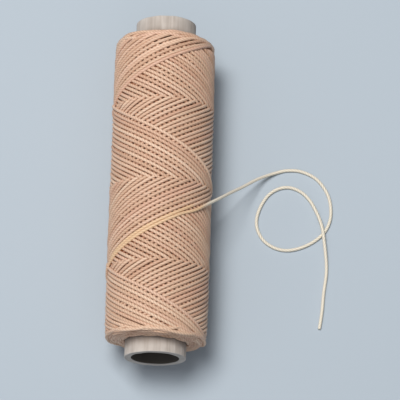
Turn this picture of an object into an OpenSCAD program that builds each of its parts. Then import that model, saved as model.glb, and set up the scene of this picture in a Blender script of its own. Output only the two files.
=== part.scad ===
// Waxed thread spool: one thread cross-wound on a paper tube, lying on its side.
// The tube runs along Y. The origin is on the surface that the spool lies on,
// under the middle of the tube, and +Z is up. All lengths are in millimetres.

/* [Paper tube] */
// Length of the paper tube
tube_len = 85; // [60:0.5:160]
// Bore through the tube, where a peg or spindle goes
tube_bore = 11.5; // [6:0.1:16]
// Thickness of one ply of paper
ply_t = 0.41; // [0.2:0.01:0.6]
// Glue film between two plies
glue_t = 0.01; // [0.005:0.005:0.05]

/* [Winding] */
// Outer diameter of the winding, over the thread
wind_d = 25; // [23:0.5:60]
// Bare tube that shows at the near end, at -Y
near_bare = 3.1; // [1:0.1:10]
// Bare tube that shows at the far end, at +Y
far_bare = 5.4; // [1:0.1:10]
// Radius of the soft shoulder where the thread turns back at each end
shoulder_r = 1.3; // [0.3:0.1:1.5]
// Clearance between the tube and the first layer, and between layers
layer_gap = 0.02; // [0.01:0.01:0.1]

/* [Thread] */
// Diameter of the thread
thread_d = 0.8; // [0.4:0.05:1.2]

/* [Hidden] */
$fn = 96;

// How many plies the tube is rolled from, and how many double layers are wound on it
ply_count = 4;
layer_count = 3;

// Height of the tube's axis: the winding touches the surface
axis_h = wind_d / 2;

// Radius of the finished tube, and the radial room that each double layer fills
tube_r = ply_bore_r(ply_count) - glue_t;
layer_pitch = (wind_d / 2 - tube_r) / layer_count;

// The winding's two ends along the tube
wind_y0 = near_bare - tube_len / 2;
wind_y1 = tube_len / 2 - far_bare;

// Straight steps in each shoulder's quarter circle
shoulder_steps = 8;

// Sides of the loose thread's tube, and its rings on each leg of the route
tail_sides = 8;
rings_per_leg = 2;

// The loose end's route: off the top of the winding, down to the surface,
// once round a loop and over itself to the cut end
tail_route = [
    [7.4, -8.6, 22],
    [9.4, -7.3, 20.8],
    [12.8, -4.1, 16.8],
    [17.9, 0.8, 9.9],
    [20.8, 3.5, 6.2],
    [23.4, 5.8, 3.5],
    [25.7, 7.4, 1.7],
    [28.4, 8.7, 0.6],
    [31.2, 9.4, 0.4],
    [34.6, 9.2, 0.4],
    [38, 7.7, 0.4],
    [40.4, 5, 0.4],
    [41.8, 1.6, 0.4],
    [41.9, -2.6, 0.4],
    [40.6, -6.2, 0.4],
    [38, -8.8, 0.4],
    [34.8, -10.5, 0.4],
    [31.6, -11.2, 0.4],
    [28.4, -10.7, 0.4],
    [25.6, -9, 0.4],
    [24.1, -6.2, 0.4],
    [23.8, -3, 0.4],
    [24.7, 0.2, 0.4],
    [26.6, 3, 0.4],
    [29.2, 4.7, 0.4],
    [32, 5, 0.4],
    [34.7, 3.8, 0.4],
    [36.8, 1.7, 0.5],
    [38.3, -0.8, 0.7],
    [39.4, -3.4, 1],
    [40.1, -6.2, 1.25],
    [40.5, -9, 1.2],
    [40.9, -12, 0.9],
    [41.1, -15.2, 0.5],
    [41, -18.8, 0.4],
    [40.6, -22.9, 0.4],
    [40.2, -27, 0.4],
    [39.7, -31.1, 0.4],
];

paper = [0.87, 0.85, 0.81];
waxed_thread = [0.85, 0.68, 0.54];
loose_thread = [0.93, 0.9, 0.8];

// Inner radius of ply n, counted from 0 at the bore
function ply_bore_r(n) = tube_bore / 2 + n * (ply_t + glue_t);

function unit(v) = v / norm(v);

// Points on a quarter circle about [cx, cy], from angle a0 to a0 + 90
function quarter(cx, cy, r, a0) = [
    for (i = [0 : shoulder_steps])
        let (a = a0 + 90 * i / shoulder_steps)
            [cx + r * cos(a), cy + r * sin(a)]
];

// A smooth curve through the route's points: t runs from 0 to 1 along leg i
function leg_curve(a, b, c, d, t) =
    b + (c - a) * t / 2
    + (2 * a - 5 * b + 4 * c - d) * t * t / 2
    + (3 * b - a - 3 * c + d) * t * t * t / 2;
function on_leg(i, t) =
    let (last = len(tail_route) - 1)
        leg_curve(
            tail_route[max(i - 1, 0)],
            tail_route[i],
            tail_route[i + 1],
            tail_route[min(i + 2, last)],
            t
        );
tail_path = [
    for (i = [0 : len(tail_route) - 2])
        for (j = [0 : rings_per_leg - 1])
            on_leg(i, j / rings_per_leg),
    tail_route[len(tail_route) - 1],
];
tail_last = len(tail_path) - 1;

// The thread's direction at ring i, and that ring's points, with a flat side underneath
function tail_heading(i) = unit(tail_path[min(i + 1, tail_last)] - tail_path[max(i - 1, 0)]);
function tail_ring(i) =
    let (
        ahead = tail_heading(i),
        side = unit(cross(ahead, [0, 0, 1])),
        above = cross(side, ahead)
    ) [
        for (k = [0 : tail_sides - 1])
            let (a = (k + 0.5) * 360 / tail_sides)
                tail_path[i] + thread_d / 2 * (cos(a) * side + sin(a) * above)
    ];

// Stands what follows on the tube's axis, from y0 towards +Y
module on_axis(y0) {
    translate([0, y0, axis_h])
        rotate([-90, 0, 0])
            children();
}

// Ply n of the tube's wall, counted from 0 at the bore
module tube_ply(n) {
    color(paper)
        on_axis(-tube_len / 2)
            difference() {
                cylinder(h = tube_len, r = ply_bore_r(n) + ply_t);
                translate([0, 0, -1])
                    cylinder(h = tube_len + 2, r = ply_bore_r(n));
            }
}

module tube_inner_ply() {
    tube_ply(0);
}

module tube_second_ply() {
    tube_ply(1);
}

module tube_third_ply() {
    tube_ply(2);
}

module tube_outer_ply() {
    tube_ply(3);
}

// Double layer n of the winding, counted from 0 at the tube.
// The thread goes there and back along the whole tube in each of them.
module winding_layer(n) {
    length = wind_y1 - wind_y0;
    inner_r = tube_r + n * layer_pitch + layer_gap;
    color(waxed_thread)
        on_axis(wind_y0)
            difference() {
                cylinder(h = length, r = inner_r + layer_pitch - layer_gap);
                translate([0, 0, -1])
                    cylinder(h = length + 2, r = inner_r);
            }
}

module inner_winding() {
    winding_layer(0);
}

module middle_winding() {
    winding_layer(1);
}

// The last double layer, with the soft shoulders that show
module outer_winding() {
    inner_r = tube_r + (layer_count - 1) * layer_pitch + layer_gap;
    length = wind_y1 - wind_y0;
    shoulder_x = wind_d / 2 - shoulder_r;
    color(waxed_thread)
        on_axis(wind_y0)
            rotate_extrude()
                polygon(concat(
                    [[inner_r, 0]],
                    quarter(shoulder_x, shoulder_r, shoulder_r, -90),
                    quarter(shoulder_x, length - shoulder_r, shoulder_r, 0),
                    [[inner_r, length]]
                ));
}

// The loose end of the thread, swept ring by ring along its path
module thread_tail() {
    points = [for (i = [0 : tail_last]) each tail_ring(i)];
    start_cap = [for (k = [tail_sides - 1 : -1 : 0]) k];
    cut_end = [for (k = [0 : tail_sides - 1]) tail_last * tail_sides + k];
    walls = [
        for (i = [0 : tail_last - 1])
            for (k = [0 : tail_sides - 1])
                let (
                    here = i * tail_sides,
                    next = here + tail_sides,
                    beside = (k + 1) % tail_sides
                )
                    [here + k, here + beside, next + beside, next + k]
    ];
    color(loose_thread)
        polyhedron(points, concat([start_cap, cut_end], walls));
}

tube_inner_ply();
tube_second_ply();
tube_third_ply();
tube_outer_ply();
inner_winding();
middle_winding();
outer_winding();
thread_tail();
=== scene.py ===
import math

import bmesh
import bpy
import numpy as np
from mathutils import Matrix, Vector, noise


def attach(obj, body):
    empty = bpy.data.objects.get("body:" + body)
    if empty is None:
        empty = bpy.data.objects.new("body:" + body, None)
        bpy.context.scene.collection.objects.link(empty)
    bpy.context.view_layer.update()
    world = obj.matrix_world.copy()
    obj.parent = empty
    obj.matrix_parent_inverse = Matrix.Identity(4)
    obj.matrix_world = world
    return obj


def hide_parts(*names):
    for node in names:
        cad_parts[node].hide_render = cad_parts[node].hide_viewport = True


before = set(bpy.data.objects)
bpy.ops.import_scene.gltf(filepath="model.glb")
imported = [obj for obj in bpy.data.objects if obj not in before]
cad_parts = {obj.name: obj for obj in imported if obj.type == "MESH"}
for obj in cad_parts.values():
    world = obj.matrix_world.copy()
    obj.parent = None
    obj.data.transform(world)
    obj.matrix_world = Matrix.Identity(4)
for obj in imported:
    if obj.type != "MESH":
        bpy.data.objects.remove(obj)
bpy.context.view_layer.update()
scene = bpy.context.scene
scene.view_settings.view_transform = "Standard"

# Everything is in metres. The spool's axis runs along Y at axisHeight over the floor.
# Round the spool, an angle is measured from +Z towards +X.
axisHeight = 0.0125

camera = {
    "azimuth": 1.614,  # degrees, 0 looks along +Y
    "elevation": 72.932,
    "distance": 0.632476,
    "target": (0.009642, -0.002525, 0.0125),
    "lens": 233.66,
    "sensor": 36.0,
    "clip": (0.01, 20),
}


def placeCamera(view):
    azimuth = math.radians(view["azimuth"])
    elevation = math.radians(view["elevation"])
    back = Vector((
        math.sin(azimuth) * math.cos(elevation),
        -math.cos(azimuth) * math.cos(elevation),
        math.sin(elevation),
    ))
    data = bpy.data.cameras.new("camera")
    data.lens = view["lens"]
    data.sensor_width = view["sensor"]
    data.clip_start, data.clip_end = view["clip"]
    eye = bpy.data.objects.new("camera", data)
    eye.location = Vector(view["target"]) + back * view["distance"]
    eye.rotation_euler = back.to_track_quat("Z", "Y").to_euler()
    scene.collection.objects.link(eye)
    scene.camera = eye


placeCamera(camera)
print("camera placed")


class Wire:
    # a socket that takes part in Python expressions
    def __init__(self, finish, socket):
        self.finish = finish
        self.socket = socket

    def maths(self, operation, *others, swap=False):
        values = [self, *others]
        if swap:
            values.reverse()
        return self.finish.node("ShaderNodeMath", {"operation": operation}, dict(enumerate(values)))

    def __add__(self, other):
        return self.maths("ADD", other)

    def __radd__(self, other):
        return self.maths("ADD", other, swap=True)

    def __sub__(self, other):
        return self.maths("SUBTRACT", other)

    def __rsub__(self, other):
        return self.maths("SUBTRACT", other, swap=True)

    def __mul__(self, other):
        return self.maths("MULTIPLY", other)

    def __rmul__(self, other):
        return self.maths("MULTIPLY", other, swap=True)

    def __pow__(self, other):
        return self.maths("POWER", other)

    def __abs__(self):
        return self.maths("ABSOLUTE")

    def sine(self):
        return self.maths("SINE")

    def between(self, low, high):
        # 0 under low, 1 over high, smooth between
        settings = {"interpolation_type": "SMOOTHSTEP"}
        inputs = {"Value": self, "From Min": low, "From Max": high}
        return self.finish.node("ShaderNodeMapRange", settings, inputs)


class Finish:
    # the nodes of one material or of the world, with a shader at their end
    def __init__(self, owner, constants, shaderName="Principled BSDF"):
        self.owner = owner
        owner.use_nodes = True
        self.tree = owner.node_tree
        self.shader = self.tree.nodes[shaderName]
        for socketName, value in constants.items():
            self.shader.inputs[socketName].default_value = value

    def node(self, kind, settings, inputs, output=0):
        made = self.tree.nodes.new(kind)
        for name, value in settings.items():
            setattr(made, name, value)
        for name, value in inputs.items():
            if isinstance(value, Wire):
                self.tree.links.new(value.socket, made.inputs[name])
            else:
                made.inputs[name].default_value = value
        return Wire(self, made.outputs[output])

    def place(self, scale=(1, 1, 1), move=(0, 0, 0), source="Object"):
        here = self.node("ShaderNodeTexCoord", {}, {}, source)
        return self.node("ShaderNodeMapping", {}, {"Vector": here, "Scale": scale, "Location": move})

    def split(self, vector):
        parts = self.node("ShaderNodeSeparateXYZ", {}, {"Vector": vector})
        outputs = parts.socket.node.outputs
        return [Wire(self, outputs[axis]) for axis in "XYZ"]

    def join(self, x, y, z):
        return self.node("ShaderNodeCombineXYZ", {}, {"X": x, "Y": y, "Z": z})

    def grain(self, vector, scale, detail=2.0, roughness=0.5):
        inputs = {"Vector": vector, "Scale": scale, "Detail": detail, "Roughness": roughness}
        return self.node("ShaderNodeTexNoise", {}, inputs)

    def attribute(self, name):
        return self.node("ShaderNodeAttribute", {"attribute_name": name}, {}, "Fac")

    def mix(self, factor, colourA, colourB, blend="MIX"):
        # the two colours of a Mix node are its inputs 6 and 7, and its colour is output 2
        settings = {"data_type": "RGBA", "blend_type": blend, "clamp_factor": True}
        return self.node("ShaderNodeMix", settings, {0: factor, 6: colourA, 7: colourB}, 2)

    def bump(self, height, distance, strength):
        inputs = {"Height": height, "Distance": distance, "Strength": strength}
        return self.node("ShaderNodeBump", {}, inputs)

    def drive(self, links):
        for name, wire in links.items():
            self.tree.links.new(wire.socket, self.shader.inputs[name])
        return self.owner


def rgb(red, green, blue):
    # a screen colour from 0 to 255, as the linear one that a shader takes
    parts = [value / 255 for value in (red, green, blue)]
    return tuple(v / 12.92 if v <= 0.04045 else ((v + 0.055) / 1.055) ** 2.4 for v in parts) + (1.0,)


thread = {
    "radius": 0.0004,
    "twistPitch": 0.0026,  # length in which the plies go once round
    "plies": 3,
    "plyFullness": 0.7,  # of real plies: 1 is the round of a sine, less is fuller
    "bumpFullness": 0.6,  # the same of those that are only in the material
    "bumpDepth": 0.00004,
    "bumpStrength": 0.8,
    "fibreHeight": 0.25,  # share of that depth
    # each grain: how fast it runs along the thread and round it, scale, detail, roughness
    "grains": {
        "fibre": (1.3, 16.0, 3.0, 3.0, 0.6),
        "patch": (0.045, 0.0, 1.0, 3.0, 0.6),
        "tint": (0.02, 0.0, 1.0, 2.0, 0.5),
        "wax": (0.9, 2.0, 1.6, 2.0, 0.5),
    },
    # the part of a grain over which a tone comes in, and the tone's share
    "paleBand": (0.3, 0.7),
    "rosyBand": (0.42, 0.66),
    "rosyShare": 0.75,
    "fibreBand": (0.35, 0.75),
    "fibreShare": 0.14,
    "grooveShadeBand": (0.0, 0.6),
    "grooveShadeShare": 0.48,
    "waxBand": (0.55, 0.8),
    "waxShare": 0.16,
    "roughness": (0.38, 0.2),  # and what the wax adds to it
    "wound": rgb(225, 190, 163),
    "pale": rgb(239, 212, 187),
    "rosy": rgb(219, 176, 153),
    "deep": rgb(196, 155, 125),
    "honey": rgb(230, 196, 158),  # the last wraps
    "cream": rgb(234, 227, 209),  # the loose end
    # painted shade in the grooves between the plies; the fibres' lines are darkened with it too
    "grooveShade": rgb(150, 104, 74),
    "gapShade": rgb(186, 132, 90),  # painted shade between the turns: thread deep in the winding is coloured darker
    "wax": rgb(250, 240, 226),
}


def threadFinish(name, t):
    # the UV map counts turns of the twist along the thread, and goes once round it
    finish = Finish(bpy.data.materials.new(name), {"IOR": 1.45, "Specular IOR Level": 0.35})
    along, around = finish.split(finish.place(source="UV"))[:2]

    def grain(kind, across, y=0.0, z=0.0):
        lengthwise, crosswise, *settings = t["grains"][kind]
        return finish.grain(finish.join(along * lengthwise, across * crosswise + y, z), *settings)

    fibre = grain("fibre", around - along)
    patch = grain("patch", around)
    tint = grain("tint", around, y=7.0)
    wax = grain("wax", around, z=4.0)
    lobe = abs(((around - along) * (math.pi * t["plies"])).sine())
    # painted shade: the thread is coloured darker in the grooves between its plies
    grooveShade = 1 - lobe.between(*t["grooveShadeBand"])
    colour = finish.mix(patch.between(*t["paleBand"]), t["wound"], t["pale"])
    colour = finish.mix(tint.between(*t["rosyBand"]) * t["rosyShare"], colour, t["rosy"])
    for mark in ("deep", "honey", "cream"):
        colour = finish.mix(finish.attribute(mark), colour, t[mark])
    lines = grooveShade * t["grooveShadeShare"] + fibre.between(*t["fibreBand"]) * t["fibreShare"]
    colour = finish.mix(lines, colour, t["grooveShade"], "MULTIPLY")
    # painted shade: thread that lies deep between the turns is coloured darker
    colour = finish.mix(finish.attribute("gapShade"), colour, t["gapShade"], "MULTIPLY")
    colour = finish.mix(wax.between(*t["waxBand"]) * t["waxShare"], colour, t["wax"])
    roughness, more = t["roughness"]
    height = lobe ** t["bumpFullness"] + fibre * t["fibreHeight"]
    return finish.drive({
        "Base Color": colour,
        "Roughness": roughness + more * wax,
        "Normal": finish.bump(height, t["bumpDepth"], t["bumpStrength"]),
    })


threadMaterial = threadFinish("waxedThread", thread)


def smoothStep(value):
    value = np.clip(value, 0, 1)
    return value * value * (3 - 2 * value)


def lengthsAlong(centres):
    steps = np.linalg.norm(np.diff(centres, axis=0), axis=1)
    return np.concatenate([[0], np.cumsum(steps)])


def threadSection(name, sides, height):
    section = bpy.data.curves.new(name, "CURVE")
    section.dimensions = "2D"
    ring = section.splines.new("POLY")
    ring.points.add(sides - 1)
    ring.use_cyclic_u = True
    for i in range(sides):
        angle = -2 * math.pi * i / sides
        ring.points[i].co = (height * math.cos(angle), thread["radius"] * math.sin(angle), 0, 1)
    return bpy.data.objects.new(name, section)


def sweepThread(name, centres, sides, height, twistMode, marks, startTurns=0.0, lobes=None):
    # Sweeps a round section along the centres and makes it a mesh. The spool's axis is turned to Z
    # for the sweep, so that the section keeps its height away from the axis, and back in the mesh.
    count = len(centres)
    curve = bpy.data.curves.new(name, "CURVE")
    curve.dimensions = "3D"
    curve.twist_mode = twistMode
    line = curve.splines.new("POLY")
    line.points.add(count - 1)
    turned = np.ones((count, 4))
    turned[:, :3] = centres[:, [2, 0, 1]] - (axisHeight, 0, 0)
    line.points.foreach_set("co", turned.ravel())
    section = threadSection(name, sides, height)
    curve.bevel_mode = "OBJECT"
    curve.bevel_object = section
    swept = bpy.data.objects.new(name, curve)
    scene.collection.objects.link(swept)
    depsgraph = bpy.context.evaluated_depsgraph_get()
    mesh = bpy.data.meshes.new_from_object(swept.evaluated_get(depsgraph))
    for spare in (swept, section):
        bpy.data.objects.remove(spare)

    places = np.empty(count * sides * 3, np.float32)
    mesh.vertices.foreach_get("co", places)
    places = places.reshape(count, sides, 3)[:, :, [1, 2, 0]] + (0, 0, axisHeight)
    turns = lengthsAlong(centres) / thread["twistPitch"] + startTurns
    if lobes is not None:  # real plies, lobes deep
        around = np.arange(sides) / sides
        ply = np.abs(np.sin(math.pi * thread["plies"] * (around[None, :] - turns[:, None])))
        ply = ply ** thread["plyFullness"]
        shrink = 1 - lobes[:, None] * (1 - ply)
        places = centres[:, None, :] + (places - centres[:, None, :]) * shrink[:, :, None]
    mesh.vertices.foreach_set("co", places.astype(np.float32).ravel())
    for mark, values in marks.items():
        layer = mesh.attributes.new(mark, "FLOAT", "POINT")
        layer.data.foreach_set("value", np.repeat(values, sides).astype(np.float32))
    uv = np.empty(len(mesh.loops) * 2, np.float32)
    mesh.uv_layers[0].data.foreach_get("uv", uv)
    uv = uv.reshape(-1, 2)
    uv[:, 0] = np.interp(uv[:, 0], np.linspace(0, 1, count), turns - math.floor(startTurns))
    mesh.uv_layers[0].data.foreach_set("uv", uv.ravel())

    shape = bmesh.new()
    shape.from_mesh(mesh)
    bmesh.ops.holes_fill(shape, edges=[edge for edge in shape.edges if edge.is_boundary], sides=0)
    for face in shape.faces:
        face.smooth = len(face.verts) == 4
    shape.to_mesh(mesh)
    shape.free()
    mesh.materials.append(threadMaterial)
    piece = bpy.data.objects.new(name, mesh)
    scene.collection.objects.link(piece)
    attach(piece, "root")
    return piece


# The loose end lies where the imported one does. The first point is under the surface of the winding.
looseEnd = {
    "route": [
        (0.0074, -0.0086, 0.022),
        (0.0094, -0.0073, 0.0208),
        (0.0128, -0.0041, 0.0168),
        (0.0179, 0.0008, 0.0099),
        (0.0208, 0.0035, 0.0062),
        (0.0234, 0.0058, 0.0035),
        (0.0257, 0.0074, 0.0017),
        (0.0284, 0.0087, 0.0006),
        (0.0312, 0.0094, 0.0004),
        (0.0346, 0.0092, 0.0004),
        (0.038, 0.0077, 0.0004),
        (0.0404, 0.005, 0.0004),
        (0.0418, 0.0016, 0.0004),
        (0.0419, -0.0026, 0.0004),
        (0.0406, -0.0062, 0.0004),
        (0.038, -0.0088, 0.0004),
        (0.0348, -0.0105, 0.0004),
        (0.0316, -0.0112, 0.0004),
        (0.0284, -0.0107, 0.0004),
        (0.0256, -0.009, 0.0004),
        (0.0241, -0.0062, 0.0004),
        (0.0238, -0.003, 0.0004),
        (0.0247, 0.0002, 0.0004),
        (0.0266, 0.003, 0.0004),
        (0.0292, 0.0047, 0.0004),
        (0.032, 0.005, 0.0004),
        (0.0347, 0.0038, 0.0004),
        (0.0368, 0.0017, 0.0005),
        (0.0383, -0.0008, 0.0007),
        (0.0394, -0.0034, 0.001),
        (0.0401, -0.0062, 0.00125),
        (0.0405, -0.009, 0.0012),
        (0.0409, -0.012, 0.0009),
        (0.0411, -0.0152, 0.0005),
        (0.041, -0.0188, 0.0004),
        (0.0406, -0.0229, 0.0004),
        (0.0402, -0.027, 0.0004),
        (0.0397, -0.0311, 0.0004),
    ],
    "stepsPerLeg": 20,
    "pathStep": 4,  # steps from one point of the cord's path to the next
    "sides": 18,
    "lobeDepth": 0.16,  # of the plies, as a share of the radius
    "fadeIn": 0.012,  # length in which the plies start to stand out
    "paleFrom": 0.006,  # length in which the honey tone of the last wraps ends
    "sway": 0.00006,  # how far it strays sideways, and in what length
    "swayLength": 0.005,
    "swaySteps": 8,
    "seed": 4,
}


def throughPoints(points, stepsPerLeg):
    # a smooth line through the points, the first of which only gives the direction
    points = np.array(points)
    line = []
    t = (np.arange(stepsPerLeg) / stepsPerLeg)[:, None]
    for i in range(1, len(points) - 1):
        a, b, c = points[i - 1], points[i], points[i + 1]
        d = points[min(i + 2, len(points) - 1)]
        line.append(
            b + (c - a) * t / 2
            + (2 * a - 5 * b + 4 * c - d) * t ** 2 / 2
            + (3 * b - a - 3 * c + d) * t ** 3 / 2
        )
    return np.concatenate([*line, points[-1:]])


def makeLooseEnd(end):
    line = throughPoints(end["route"], end["stepsPerLeg"])
    run = lengthsAlong(line)
    chance = np.random.default_rng(end["seed"])
    knots = int(run[-1] / end["swayLength"]) + 2
    knotAt = np.linspace(0, run[-1], knots)
    for axis in (0, 1):
        sideways = np.stack([knotAt, chance.normal(0, end["sway"], knots)], 1)
        stray = throughPoints(sideways, end["swaySteps"])
        line[:, axis] += np.interp(run, stray[:, 0], stray[:, 1]) * smoothStep(run / end["fadeIn"])
    cream = smoothStep(run / end["paleFrom"])
    clear = np.zeros(len(line))
    marks = {"deep": clear, "honey": 1 - cream, "cream": cream, "gapShade": clear}
    lobes = end["lobeDepth"] * smoothStep(run / end["fadeIn"])
    piece = sweepThread(
        "looseEnd", line, end["sides"], thread["radius"], "MINIMUM", marks, 0.0, lobes)
    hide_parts("thread_tail")
    2 * thread["radius"]
    [tuple(point) for point in line[::end["pathStep"]]] + [tuple(line[-1])]
    print("loose end: %.1f mm" % (1000 * run[-1]))


makeLooseEnd(looseEnd)


# One thread of 424 turns. It goes there and back between the two ends, 4 and 1/35 turns each time,
# so each double stroke lies 1/35 of a turn further on, and 35 of them are a double layer.
winding = {
    "tubeRadius": 0.00742,
    "outerRadius": 0.0125,
    "nearEnd": -0.039,
    "farEnd": 0.0378,
    "nearLean": 0.0006,  # the near end stands back underneath and on the left,
    "nearSideLean": 0.0003,
    "farLean": 0.00035,  # and the far one on the right
    "nearShoulder": 0.0004,  # how far a shoulder reaches along the spool, and how square it is
    "nearSquare": 2.5,
    "farShoulder": 0.0009,
    "farSquare": 5.0,
    "taper": 0.0005,  # the winding is this much thinner at its ends
    "taperLength": 0.006,
    "lead": 0.0408,  # along the spool per turn
    "turnsPerDoubleStroke": 4 + 1 / 35,
    "doubleStrokes": 105,
    "lastWrapAt": -0.01263,  # where the last wrap passes over the top
    "leaveAngle": 0.847,
    "leaveLength": 0.006,
    "seed": 7,
    "columns": 720,  # round the spool
    "rowStep": 0.0001,
    "spareLength": 0.002,  # rows beyond each end
    "wander": 0.00004,  # of the thread off its even course, and how often in radians
    "wanderEvery": 1.2,
    "strokeWander": 0.00004,
    "turnSharpness": 2.5,  # 2 bends early into a turn-round, more turns later and squarer
    "rings": 9,  # of turn-rounds on each end, filled three by three
    "ringsPerLayer": 3,
    "turnsPerLayer": 36,  # one more than once round, so that no ring has a gap
    "turnStep": 0.0003,  # the turn-rounds lie in two rows, this far apart
    "turnWander": 0.00012,
    "looseAtTube": 0.2,  # share of the step and the wander on the innermost ring
    "turnTip": 0.0002,  # so close to its tip, a turn-round is all in its ring
    "turnBlend": 0.0014,
    "snug": 0.00025,  # the last wrap is pushed against its neighbour,
    "snugFrom": 0.8,  # from this many radians after the last turn-round, over so many more
    "snugWithin": 1.5,
    "flat": 0.95,  # height of the wound thread over its width
    "seatAt": (0.0, 0.6, 0.68, 1.0),  # shares of the thread laid, and how high it sits there on what
    "seat": (1.05, 1.05, 0.42, 0.42),  # it crosses, in radii: the last double layer is pulled tight
    "batch": 0.6,  # turns laid at a time
    "margin": 60,  # columns looked at before and after a batch
    "steepest": 0.75,  # least cosine of the thread's slope
    "touching": 0.98,  # share of the thread's width that touches what lies under it
    "bridging": 0.014,  # radius at which the tight thread spans hollows
    "stiffness": 3.0,  # columns over which the thread's height evens out
    "pressEvery": 7,  # batches
    "pressFrom": 0.1,  # share of the thread laid
    "pressedRadius": 0.01200,
    "pressAround": 0.0016,
    "pressAlong": 0.0008,
    "pressMin": 0.3,
    "pressMax": 1.12,
    "blockColumns": 4,  # the pressing works on blocks of columns and rows
    "blockRows": 2,
    "thinnest": 0.00005,  # depth that it leaves at least
    "overShoulder": 0.0001,  # how far a thread may stand out of the shoulders
    "freeHeight": 0.0005,  # what more it may farther in, from where on, and over what length
    "freeFrom": 0.002,
    "freeWithin": 0.004,
    "floorReach": 0.5,  # cosine to straight down, up to which the floor is felt
    "toneSeed": 21,
    "tone": (0.3, 0.22),  # middle and spread of the strokes' deeper tone
    "toneMax": 0.8,
    "honeyFrom": -2.4,  # radians before the end, on the last two wraps that lie together
    "honeyFadeIn": 0.5,
    "honeyFadeOut": 0.1,
    "gapShadeFrom": 0.00025,  # depth where the painted gap shade begins
    "gapShadeTo": 0.0008,  # and where it is full
    # name, first and last double stroke counted back from the end, columns per ring, sides, node
    "pieces": [
        ("innerThread", 105, 70, 15, 8, "inner_winding"),
        ("middleThread", 70, 35, 15, 8, "middle_winding"),
        ("outerThread", 35, 17, 8, 12, "outer_winding"),
        ("topThread", 17, 0, 8, 12, "outer_winding"),
    ],
    "fineRings": 3,  # the last ones of all are closer, where the loose end follows
    "fineColumns": 2,
}


def endsAt(w, angle):
    # where the winding's two ends are at an angle round it
    near = w["nearEnd"] + w["nearLean"] * (1 - np.cos(angle)) / 2 - w["nearSideLean"] * np.sin(angle)
    far = w["farEnd"] - w["farLean"] * np.sin(angle)
    return near, far


def roomAt(w, angle, along):
    # the radius that the winding may reach
    near, far = endsAt(w, angle)
    fromNear = np.clip(along - near, 0, 1)
    fromFar = np.clip(far - along, 0, 1)
    share = np.minimum(
        np.clip(fromNear / w["nearShoulder"], 0, 1) ** (1 / w["nearSquare"]),
        np.clip(fromFar / w["farShoulder"], 0, 1) ** (1 / w["farSquare"]),
    )
    taper = w["taper"] * np.exp(-np.minimum(fromNear, fromFar) / w["taperLength"])
    return w["tubeRadius"] + (w["outerRadius"] - taper - w["tubeRadius"]) * share


def turnRounds(w, turn, shoulder, square, chance):
    # for the number of a turn-round: how far out on the winding's end it lies, 0 at the tube and
    # 1 outside, and how far it stays back from that end
    group = w["ringsPerLayer"]
    ring = (turn // w["turnsPerLayer"] * group + turn % group) / (w["rings"] - 1)
    loose = w["turnStep"] * (turn // group % 2)
    loose = loose + chance.normal(0, w["turnWander"], turn[-1] + 3)[turn]
    loose = loose * (w["looseAtTube"] + (1 - w["looseAtTube"]) * ring)
    return ring, thread["radius"] + shoulder * ring ** square + loose


def threadLine(w):
    # Angle and place along the spool for each column that the thread passes, from its start to
    # where it leaves. Near a turn-round it bends off its slope as a hyperbola leaves its lines.
    chance = np.random.default_rng(w["seed"])
    columnAngle = 2 * math.pi / w["columns"]
    perRadian = w["lead"] / (2 * math.pi)
    half = math.pi * w["turnsPerDoubleStroke"]
    travel = perRadian * half
    middle = (w["nearEnd"] + w["farEnd"]) / 2
    lowCorner = middle - travel / 2
    highCorner = middle + travel / 2
    lastTurn = (lowCorner - w["lastWrapAt"]) / perRadian
    first = math.floor((lastTurn - 2 * half * w["doubleStrokes"]) / columnAngle)
    last = round(w["leaveAngle"] / columnAngle)
    index = np.arange(first, last + 1)
    angle = index * columnAngle
    strokes = (angle - lastTurn) / half
    phase = np.mod(strokes, 2.0)
    sinceLow = np.minimum(phase, 2 - phase) * travel
    sinceHigh = np.abs(phase - 1) * travel
    lowTurn = np.floor((strokes + 1) / 2).astype(int) - math.floor((strokes[0] + 1) / 2)
    highTurn = np.floor(strokes / 2).astype(int) - math.floor(strokes[0] / 2)
    lowRing, lowBack = turnRounds(w, lowTurn, w["nearShoulder"], w["nearSquare"], chance)
    highRing, highBack = turnRounds(w, highTurn, w["farShoulder"], w["farSquare"], chance)
    near, far = endsAt(w, angle)
    lowTip = near + lowBack
    highTip = far - highBack
    sharp = w["turnSharpness"]
    along = (
        lowCorner + travel * np.where(phase < 1, phase, 2 - phase)
        + (sinceLow ** sharp + (lowTip - lowCorner) ** sharp) ** (1 / sharp) - sinceLow
        - (sinceHigh ** sharp + (highCorner - highTip) ** sharp) ** (1 / sharp) + sinceHigh
    )
    toTip = np.where(sinceLow < sinceHigh, along - lowTip, highTip - along)
    ring = np.where(sinceLow < sinceHigh, lowRing, highRing)
    passed = (angle - angle[0]) / w["wanderEvery"]
    knots = int(passed[-1]) + 3
    along += np.interp(passed, np.arange(knots), chance.normal(0, w["wander"], knots))
    started = strokes - strokes[0]
    knots = int(started[-1]) + 3
    along += np.interp(started, np.arange(knots) + 0.5, chance.normal(0, w["strokeWander"], knots))
    along += w["snug"] * smoothStep((angle - lastTurn - w["snugFrom"]) / w["snugWithin"])
    return index, angle, along, strokes, toTip, ring


def blurred(grid, mask, acrossColumns, acrossRows):
    # a gaussian blur round the spool and along it, over the wound rows only
    rowPass = np.exp(-2 * (math.pi * np.fft.rfftfreq(grid.shape[1]) * acrossRows) ** 2)
    columnPass = np.exp(-2 * (math.pi * np.fft.fftfreq(grid.shape[0]) * acrossColumns) ** 2)
    total = np.fft.irfft2(np.fft.rfft2(grid * mask) * columnPass[:, None] * rowPass, s=grid.shape)
    weight = np.fft.irfft(np.fft.rfft(mask) * rowPass, n=len(mask))
    return total / np.maximum(weight, 1e-6)


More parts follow.
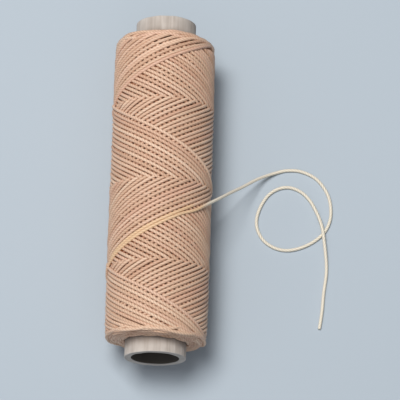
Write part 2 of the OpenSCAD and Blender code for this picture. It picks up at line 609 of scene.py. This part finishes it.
def blockShares(w, surface, rows, target, radius):
    # by what share each block of the winding is pressed to reach the target, at about that radius
    core = w["tubeRadius"]
    columnAngle = 2 * math.pi / w["columns"]
    wide, high = w["blockColumns"], w["blockRows"]
    rows = rows.reshape(-1, high).mean(1)
    angles = (np.arange(w["columns"] // wide) * wide + (wide - 1) / 2) * columnAngle
    room = roomAt(w, angles[:, None], rows[None, :])
    wanted = np.maximum(np.minimum(target, room) - core, w["thinnest"])
    wound = np.minimum(rows - w["nearEnd"], w["farEnd"] - rows) > w["rowStep"]
    depth = (surface - core).reshape(len(angles), wide, len(rows), high).mean((1, 3))
    around = w["pressAround"] / (radius * columnAngle) / wide
    depth = blurred(depth, wound.astype(float), around, w["pressAlong"] / w["rowStep"] / high)
    return np.clip(wanted / np.maximum(depth, 1e-5), w["pressMin"], w["pressMax"])


def shareAt(w, shares, column, row):
    # the blocks' shares, read between their middles
    wide, high = w["blockColumns"], w["blockRows"]
    c = (column - (wide - 1) / 2) / wide
    r = np.clip((row - (high - 1) / 2) / high, 0, shares.shape[1] - 1.001)
    c0 = np.floor(c).astype(int)
    r0 = r.astype(int)
    c1 = (c0 + 1) % len(shares)
    byColumn = c - c0
    before = shares[c0, r0] * (1 - byColumn) + shares[c1, r0] * byColumn
    after = shares[c0, r0 + 1] * (1 - byColumn) + shares[c1, r0 + 1] * byColumn
    return before + (after - before) * (r - r0)


def layThread(w, index, along):
    # Lays the thread on the tube, column by column, on top of what is there. surface holds the
    # winding's height. As thread comes on, what lies under it is pressed, so that the winding
    # stays round and even. Returns the radius of the thread's middle.
    radius = thread["radius"]
    core = w["tubeRadius"]
    columns = w["columns"]
    columnAngle = 2 * math.pi / columns
    rowStep = w["rowStep"]
    count = len(index)
    column = np.mod(index, columns)
    firstRow = w["nearEnd"] - w["spareLength"]
    length = w["farEnd"] + w["spareLength"] - firstRow
    rows = firstRow + np.arange(w["blockRows"] * math.ceil(length / rowStep / w["blockRows"])) * rowStep
    surface = np.full((columns, len(rows)), core)
    middle = np.zeros(count)
    slope = np.gradient(along, columnAngle)
    reach = math.ceil(radius / w["steepest"] / rowStep)
    offsets = np.arange(-reach, reach + 1)
    margin = w["margin"]
    evening = 2 * math.ceil(w["stiffness"])
    stiff = np.exp(-0.5 * (np.arange(-evening, evening + 1) / w["stiffness"]) ** 2)
    stiff /= stiff.sum()
    growthAt = np.linspace(0, 1, 101)
    growth = np.cumsum(np.interp(growthAt, w["seatAt"], w["seat"]))
    growth /= growth[-1]
    batch = int(w["batch"] * columns)
    windows = np.lib.stride_tricks.sliding_window_view
    for number, start in enumerate(range(0, count, batch)):
        end = min(start + batch, count)
        ahead = slice(start, min(end + margin, count))
        here = core + (w["outerRadius"] - core) * start / count
        cosine = 1 / np.sqrt(1 + (slope[ahead] / here) ** 2)
        row = np.round((along[ahead] - firstRow) / rowStep).astype(int)[:, None] + offsets
        aside = (firstRow + row * rowStep - along[ahead][:, None]) * cosine[:, None]
        seat = np.interp(end / count, w["seatAt"], w["seat"])
        arch = np.sqrt(np.maximum(radius ** 2 - aside ** 2, 0)) * seat
        bulge = np.where(np.abs(aside) < radius * w["touching"], arch, -1.0)
        lowest = (surface[column[ahead][:, None], row] + bulge).max(1)
        # a tight thread spans the hollows between the things that it crosses
        behind = max(0, start - margin)
        line = np.concatenate([middle[behind:start], lowest])
        step = columnAngle * here / cosine.mean()
        sag = (np.arange(-margin, margin + 1) * step) ** 2 / (2 * w["bridging"])
        line = (windows(np.pad(line, margin, mode="edge"), 2 * margin + 1) - sag).max(1)
        line = (windows(np.pad(line, margin, mode="edge"), 2 * margin + 1) + sag).min(1)
        line = np.convolve(np.pad(line, evening, mode="edge"), stiff, "valid")
        laid = line[start - behind:start - behind + end - start]
        middle[start:end] = laid
        fresh = slice(0, end - start)
        places = (column[start:end][:, None], row[fresh])
        surface[places] = np.maximum(surface[places], laid[:, None] + bulge[fresh])
        if number % w["pressEvery"] != w["pressEvery"] - 1 and end < count:
            continue
        share = end / count
        if share < w["pressFrom"]:
            continue
        target = core + (w["pressedRadius"] - core) * np.interp(share, growthAt, growth)
        shares = blockShares(w, surface, rows, target, here)
        everywhere = np.repeat(np.repeat(shares, w["blockColumns"], 0), w["blockRows"], 1)
        surface = core + (surface - core) * everywhere
        # the thread laid so far goes down with it
        pressed = shareAt(w, shares, column[:end], (along[:end] - firstRow) / rowStep)
        middle[:end] = core + (middle[:end] - core) * pressed
    return middle


def windThread(w):
    index, angle, along, strokes, toTip, ring = threadLine(w)
    middle = layThread(w, index, along)
    # a turn-round lies in a ring of its own, on the end of the winding
    depth = w["outerRadius"] - w["tubeRadius"] - 2 * thread["radius"]
    ringRadius = w["tubeRadius"] + thread["radius"] + depth * ring
    atTurn = 1 - smoothStep((toTip - w["turnTip"]) / w["turnBlend"])
    middle += (ringRadius - middle) * atTurn
    # pressed flat where the spool lies on the floor
    down = -np.cos(angle)
    floorLimit = (w["outerRadius"] - thread["radius"]) / np.maximum(down, w["floorReach"])
    middle = np.where(down > w["floorReach"], np.minimum(middle, floorLimit), middle)
    # nothing stands out of the shoulders, and between them the thread is left free
    near, far = endsAt(w, angle)
    toEnd = np.minimum(along - near, far - along)
    allowed = roomAt(w, angle, along) - thread["radius"] * w["flat"]
    allowed += w["freeHeight"] * smoothStep((toEnd - w["freeFrom"]) / w["freeWithin"])
    over = middle - allowed
    squeezed = allowed + w["overShoulder"] * (1 - np.exp(-over / w["overShoulder"]))
    middle = np.where(over > 0, squeezed, middle)
    centres = np.stack([middle * np.sin(angle), along, axisHeight + middle * np.cos(angle)], 1)
    # the last bit runs over into the loose end, and turns into its direction
    before, start, after = np.array(looseEnd["route"][:3])
    leaving = (after - before) / np.linalg.norm(after - before)
    ahead = centres[-1] - centres[-2]
    ahead /= np.linalg.norm(ahead)
    left = (lengthsAlong(centres)[-1] - lengthsAlong(centres))[:, None]
    change = start - centres[-1] + (ahead - leaving) * left
    centres += change * smoothStep(1 - left / w["leaveLength"])
    print("wound thread: %.2f m" % lengthsAlong(centres)[-1])
    return angle, strokes, centres


def underside(angle, strokes, stroke):
    # the first place on the underside from that stroke on
    turn = math.ceil((np.interp(stroke, strokes, angle) - math.pi) / (2 * math.pi))
    return np.searchsorted(angle, math.pi + 2 * math.pi * turn - 1e-6)


def threadMarks(w, angle, strokes):
    chance = np.random.default_rng(w["toneSeed"])
    started = strokes - strokes[0]
    tone = chance.normal(*w["tone"], int(started[-1]) + 3)
    deep = np.clip(np.interp(started, np.arange(len(tone)), tone), 0, w["toneMax"])
    honey = np.zeros(len(angle))
    lap = 2 * math.pi * w["turnsPerDoubleStroke"]
    for since in (angle - angle[-1], angle - angle[-1] + lap):
        begun = smoothStep((since - w["honeyFrom"]) / w["honeyFadeIn"])
        ended = smoothStep(since / w["honeyFadeOut"])
        honey = np.maximum(honey, begun * (1 - ended))
    return {"deep": deep, "honey": honey, "cream": np.zeros(len(angle))}


def markGapShade(w, mesh):
    # how deep each point lies under the winding's outside and ends, which sets its painted gap shade
    places = np.empty(len(mesh.vertices) * 3, np.float32)
    mesh.vertices.foreach_get("co", places)
    x, y, z = places.reshape(-1, 3).T
    angle = np.arctan2(x, z - axisHeight)
    radius = np.hypot(x, z - axisHeight)
    near, far = endsAt(w, angle)
    out = np.clip((radius - w["tubeRadius"]) / (w["outerRadius"] - w["tubeRadius"]), 0, 1)
    depth = np.minimum.reduce([
        roomAt(w, angle, y) - radius,
        y - near - w["nearShoulder"] * out ** w["nearSquare"],
        far - y - w["farShoulder"] * out ** w["farSquare"],
    ])
    layer = mesh.attributes.new("gapShade", "FLOAT", "POINT")
    gapShade = smoothStep((depth - w["gapShadeFrom"]) / (w["gapShadeTo"] - w["gapShadeFrom"]))
    layer.data.foreach_set("value", gapShade.astype(np.float32))


def makeWinding(w):
    angle, strokes, centres = windThread(w)
    marks = threadMarks(w, angle, strokes)
    turns = lengthsAlong(centres) / thread["twistPitch"]
    for name, first, last, skip, sides, node in w["pieces"]:
        start = 0 if first == w["doubleStrokes"] else underside(angle, strokes, -2 * first)
        end = len(angle) - 1 if last == 0 else underside(angle, strokes, -2 * last)
        pick = np.arange(start, end, skip)
        if last == 0:
            fineFrom = pick[-w["fineRings"]]
            pick = np.append(pick[:-w["fineRings"]], np.arange(fineFrom, end, w["fineColumns"]))
        elif end - pick[-1] < skip / 2:
            pick = pick[:-1]
        pick = np.append(pick, end)
        picked = {mark: values[pick] for mark, values in marks.items()}
        height = thread["radius"] * w["flat"]
        piece = sweepThread(name, centres[pick], sides, height, "Z_UP", picked, turns[start])
        markGapShade(w, piece.data)
        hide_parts(node)
        print("%s: %d triangles" % (name, 2 * len(piece.data.polygons)))


makeWinding(winding)


# The tube is four plies of paper, glued on each other, and each is cut a little unevenly.
paper = {
    "length": 0.085,
    "bore": 0.0115,
    "ply": 0.00041,
    "glue": 0.00001,
    # name, node, and how far the ply's rims stand back
    "plies": [
        ("innerPly", "tube_inner_ply", 0.00006),
        ("secondPly", "tube_second_ply", 0.00002),
        ("thirdPly", "tube_third_ply", 0.00004),
        ("outerPly", "tube_outer_ply", 0.00001),
    ],
    "steps": 180,
    "rows": 6,
    "rimBand": 0.0006,
    "rimAngle": 1.2,  # edges sharper than this are bevelled
    "bevel": 0.00009,
    "bevelSegments": 3,
    "wear": 0.00007,  # how uneven a rim is cut, in waves of what size, and how far it reaches
    "wearSize": 0.0022,
    "wearMiddle": 0.4,
    "wearReach": 0.0003,
    "seamAngle": 0.18,  # where the outer ply ends, with a step down
    "seamStep": 0.00006,
    "seamDepth": 0.0001,
    "seamBand": (0.004, 0.014),  # radians from the seam, where its line ends
    "seamWander": 0.02,
    "seamShare": 0.45,
    "cutBand": (0.00008, 0.0003),  # from the rim, where the cut edge's colour ends
    "greyBoardAndShadeBand": (0.00003, 0.0001),  # from the bore, where its colour ends
    "contactShadeBand": (-0.0008, 0.0016),  # from the winding, where the painted shade ends
    "contactShadeWander": 0.0012,
    "contactShadeShare": 0.6,
    "paleBand": (0.35, 0.68),  # of the streaks
    "streakBand": (0.25, 0.45),
    "streakShare": 0.6,
    "cutShare": (0.5, 0.4),  # and what the specks add to it
    "roughness": (0.72, 0.2),  # and what the clouds add to it
    "bumpDepth": 0.00005,
    "bumpStrength": 0.7,
    "streakHeight": 0.6,  # shares of the fibres' height
    "speckHeight": 0.3,
    # scale, detail and roughness of each grain
    "grains": {
        "streaks": ((900, 60, 900), 3.0, 0.6),
        "fibres": ((4200, 700, 4200), 3.0, 0.65),
        "clouds": ((220, 160, 220), 2.0, 0.5),
        "specks": ((3000, 3000, 3000), 2.0, 0.7),
    },
    # the tones laid on each other: grain, from and to where it shows, share, colour
    "tones": [
        ("clouds", 0.42, 0.7, 0.35, "streak"),
        ("fibres", 0.5, 0.8, 0.3, "pale"),
        ("specks", 0.68, 0.75, 0.4, "streak"),
    ],
    "face": rgb(187, 177, 168),
    "pale": rgb(203, 194, 186),
    "streak": rgb(153, 142, 133),
    "cut": rgb(184, 178, 172),
    "greyBoardAndShade": rgb(90, 84, 78),  # the bore: grey board, painted darker as the shade inside it
    "contactShade": rgb(112, 95, 84),  # painted shade on the tube, close to the winding
}


def paperFinish(name, p):
    # Object coordinates: the tube runs along Y
    finish = Finish(bpy.data.materials.new(name), {"IOR": 1.4, "Specular IOR Level": 0.25})
    x, y, z = finish.split(finish.place(move=(0, 0, -axisHeight)))
    toBore = (x * x + z * z) ** 0.5 - p["bore"] / 2
    toRim = p["length"] / 2 - abs(y)
    grains = {
        kind: finish.grain(finish.place(scale=scale), 1.0, detail, roughness)
        for kind, (scale, detail, roughness) in p["grains"].items()
    }
    streaks = grains["streaks"]
    colour = finish.mix(streaks.between(*p["paleBand"]), p["face"], p["pale"])
    lines = 1 - streaks.between(*p["streakBand"])
    colour = finish.mix(lines * p["streakShare"], colour, p["streak"])
    for kind, low, high, share, tone in p["tones"]:
        colour = finish.mix(grains[kind].between(low, high) * share, colour, p[tone])
    near, far = winding["nearEnd"], winding["farEnd"]
    # painted shade: the tube is coloured darker next to both ends of the winding
    toWound = abs(y - (near + far) / 2) - (far - near) / 2 - grains["clouds"] * p["contactShadeWander"]
    contactShade = 1 - toWound.between(*p["contactShadeBand"])
    colour = finish.mix(contactShade * p["contactShadeShare"], colour, p["contactShade"])
    toSeam = x.maths("ARCTAN2", z) - p["seamAngle"] + (streaks - 0.5) * p["seamWander"]
    seam = 1 - abs(toSeam).between(*p["seamBand"])
    colour = finish.mix(seam * p["seamShare"], colour, p["streak"])
    cut = 1 - toRim.between(*p["cutBand"])
    share, more = p["cutShare"]
    colour = finish.mix(cut * (share + more * grains["specks"]), colour, p["cut"])
    # the bore: grey board, with painted shade making it darker
    colour = finish.mix(1 - toBore.between(*p["greyBoardAndShadeBand"]), colour, p["greyBoardAndShade"])
    roughness, more = p["roughness"]
    height = grains["fibres"] + streaks * p["streakHeight"] + grains["specks"] * p["speckHeight"]
    return finish.drive({
        "Base Color": colour,
        "Roughness": roughness + more * grains["clouds"],
        "Normal": finish.bump(height, p["bumpDepth"], p["bumpStrength"]),
    })


def rollPly(number, p, material):
    name, node, short = p["plies"][number]
    inner = p["bore"] / 2 + number * (p["ply"] + p["glue"])
    outer = inner + p["ply"]
    end = p["length"] / 2 - short
    shape = bmesh.new()
    profile = [(-end, inner), (-end, outer), (end, outer), (end, inner)]
    corners = [shape.verts.new((0, y, r)) for y, r in profile]
    sides = [shape.edges.new((corners[i], corners[(i + 1) % 4])) for i in range(4)]
    bmesh.ops.subdivide_edges(shape, edges=[sides[1], sides[3]], cuts=p["rows"])
    bmesh.ops.spin(
        shape, geom=shape.verts[:] + shape.edges[:], cent=(0, 0, 0), axis=(0, 1, 0),
        angle=2 * math.pi, steps=p["steps"], use_merge=True)
    bmesh.ops.recalc_face_normals(shape, faces=shape.faces[:])
    rims = [edge for edge in shape.edges if edge.calc_face_angle(0) > p["rimAngle"]]
    bmesh.ops.bevel(
        shape, geom=rims, offset=p["bevel"], offset_type="OFFSET", segments=p["bevelSegments"],
        profile=0.5, affect="EDGES", material=-1)
    for at in (-end + p["rimBand"], end - p["rimBand"]):
        everything = shape.verts[:] + shape.edges[:] + shape.faces[:]
        bmesh.ops.bisect_plane(shape, geom=everything, plane_co=(0, at, 0), plane_no=(0, 1, 0))
    isOuter = number == len(p["plies"]) - 1
    for vert in shape.verts:
        place = vert.co.copy()
        across = math.hypot(place.x, place.z)
        if isOuter and across > outer - p["seamDepth"]:
            turn = (math.atan2(place.x, place.z) - p["seamAngle"]) / (2 * math.pi) % 1
            shrink = 1 - p["seamStep"] * turn / across
            vert.co.x *= shrink
            vert.co.z *= shrink
        if abs(place.y) > end - p["wearReach"]:
            wave = noise.noise(place / p["wearSize"] + Vector((0, 0, 5 * number)))
            vert.co.y += math.copysign(p["wear"], place.y) * (wave - p["wearMiddle"])
    for face in shape.faces:
        face.smooth = True
    bmesh.ops.translate(shape, verts=shape.verts[:], vec=(0, 0, axisHeight))
    mesh = bpy.data.meshes.new(name)
    shape.to_mesh(mesh)
    shape.free()
    mesh.materials.append(material)
    piece = bpy.data.objects.new(name, mesh)
    scene.collection.objects.link(piece)
    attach(piece, "root")
    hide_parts(node)


paperMaterial = paperFinish("rolledPaper", paper)
for number in range(len(paper["plies"])):
    rollPly(number, paper, paperMaterial)
print("paper tube rolled")


studio = {
    "floorSize": 6,
    "floor": rgb(178, 188, 197),
    "floorDeep": rgb(172, 182, 191),
    "floorClouds": (3, 3, 3),
    "keyDirection": (-0.19, 0.16, 1.0),
    "keyDistance": 0.9,
    "keySize": 0.36,
    "keyPower": 7.6,
    "keyColour": (1.0, 0.985, 0.96),
    "skyTowards": (-0.25, -0.5, 0.83),  # where the room is brightest
    "skyTop": (0.46, 0.48, 0.51, 1),
    "skyRim": (0.03, 0.04, 0.05, 1),
    "skyFull": 0.9,  # cosine to the brightest direction, from which on it is all skyTop
}


def makeStudio(s):
    bpy.ops.mesh.primitive_plane_add(size=s["floorSize"])
    floor = bpy.context.object
    floor.name = "floor"
    finish = Finish(bpy.data.materials.new("paleFloor"), {"Roughness": 0.85, "Specular IOR Level": 0.2})
    clouds = finish.grain(finish.place(scale=s["floorClouds"]), 1.0)
    colour = finish.mix(clouds, s["floor"], s["floorDeep"])
    floor.data.materials.append(finish.drive({"Base Color": colour}))
    direction = Vector(s["keyDirection"]).normalized()
    key = bpy.data.lights.new("key", "AREA")
    key.size = s["keySize"]
    key.energy = s["keyPower"]
    key.color = s["keyColour"]
    lamp = bpy.data.objects.new("key", key)
    lamp.location = direction * s["keyDistance"]
    lamp.rotation_euler = direction.to_track_quat("Z", "Y").to_euler()
    scene.collection.objects.link(lamp)
    sky = Finish(bpy.data.worlds.new("studio"), {}, "Background")
    direction = sky.node("ShaderNodeTexCoord", {}, {}, "Generated")
    inputs = {0: direction, 1: s["skyTowards"]}
    towards = sky.node("ShaderNodeVectorMath", {"operation": "DOT_PRODUCT"}, inputs, "Value")
    colour = sky.mix(towards.between(0, s["skyFull"]), s["skyRim"], s["skyTop"])
    scene.world = sky.drive({"Color": colour})


makeStudio(studio)
print("studio lit")
